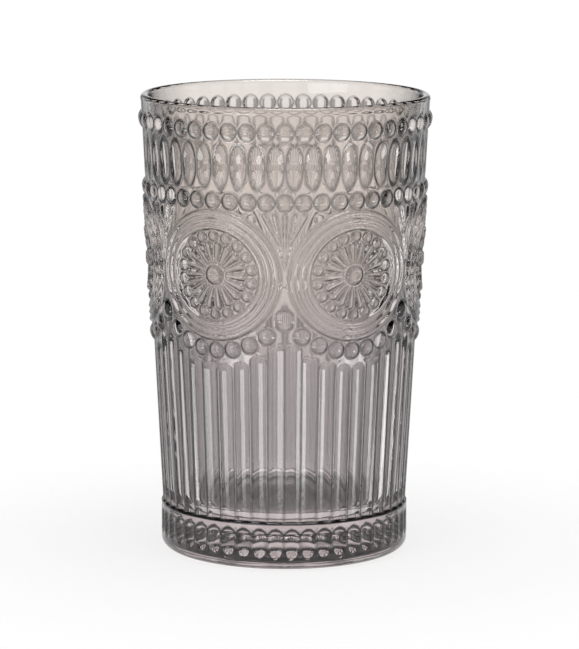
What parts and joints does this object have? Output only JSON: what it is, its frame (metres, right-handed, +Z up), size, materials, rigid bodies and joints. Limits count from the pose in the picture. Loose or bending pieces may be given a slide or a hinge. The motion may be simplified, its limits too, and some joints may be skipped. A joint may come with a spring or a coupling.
{
  "type": "water glass",
  "caption": "Tapered pressed-glass water tumbler in smoky grey, with a thick foot, bead rows, ovals, rosette medallions, bead swags and flutes moulded on the outside.",
  "frame": {"origin": "centre of the foot ring, on the table", "axes": "+Z up along the axis of the glass, -Y towards the viewer of the picture, with a gap between two medallions on -Y"},
  "size_m": [0.0814, 0.0814, 0.127],
  "materials": {
    "smoked_glass": "clear pressed soda-lime glass with a smoky grey tint, fire polished"
  },
  "bodies": {
    "root": {"bowl": "smoked_glass", "lip": "smoked_glass", "foot": "smoked_glass", "foot_flutes": "smoked_glass", "fluted_skirt": "smoked_glass", "oval_band": "smoked_glass", "upper_beads": "smoked_glass", "lower_beads": "smoked_glass", "medallion_rings": "smoked_glass", "rosette_beads": "smoked_glass", "rosette_petals": "smoked_glass", "rosette_buttons": "smoked_glass", "swag_beads": "smoked_glass", "junction_beads": "smoked_glass", "fan_ribs": "smoked_glass"}
  },
  "joints": []
}
